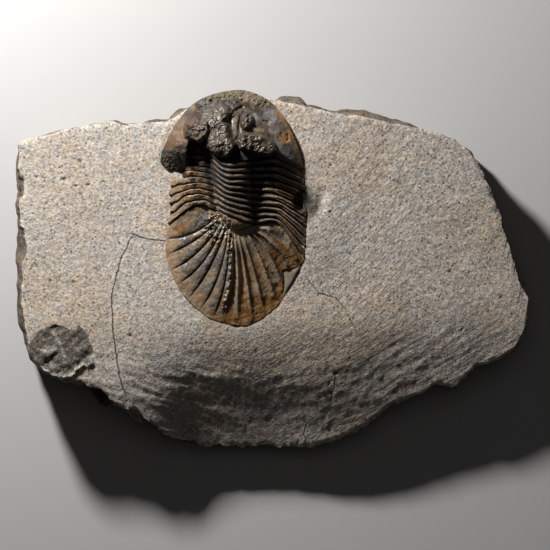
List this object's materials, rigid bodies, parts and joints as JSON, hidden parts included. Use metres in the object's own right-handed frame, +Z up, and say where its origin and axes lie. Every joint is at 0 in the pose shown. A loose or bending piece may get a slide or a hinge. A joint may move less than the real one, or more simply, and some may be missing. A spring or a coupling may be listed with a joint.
{
  "type": "trilobite fossil",
  "caption": "Fan-tailed trilobite fossil standing in relief on a flat-backed slab of pale grey limestone.",
  "frame": {"origin": "on the slab's flat back, under the middle of the whole object's box", "axes": "+X across the animal, along the slab's length; +Y towards the animal's head; +Z up, out of the worked face"},
  "size_m": [0.1394, 0.0964, 0.0329],
  "materials": {
    "limestone": "matt air-abraded limestone with rough broken sides",
    "fossil_shell": "semi-gloss dark brown calcite shell"
  },
  "bodies": {
    "root": {"matrix_slab": "limestone", "head_shield": "fossil_shell", "thorax_segment_01": "fossil_shell", "thorax_segment_02": "fossil_shell", "thorax_segment_03": "fossil_shell", "thorax_segment_04": "fossil_shell", "thorax_segment_05": "fossil_shell", "thorax_segment_06": "fossil_shell", "thorax_segment_07": "fossil_shell", "thorax_segment_08": "fossil_shell", "thorax_segment_09": "fossil_shell", "thorax_segment_10": "fossil_shell", "tail_shield": "fossil_shell"}
  },
  "joints": []
}
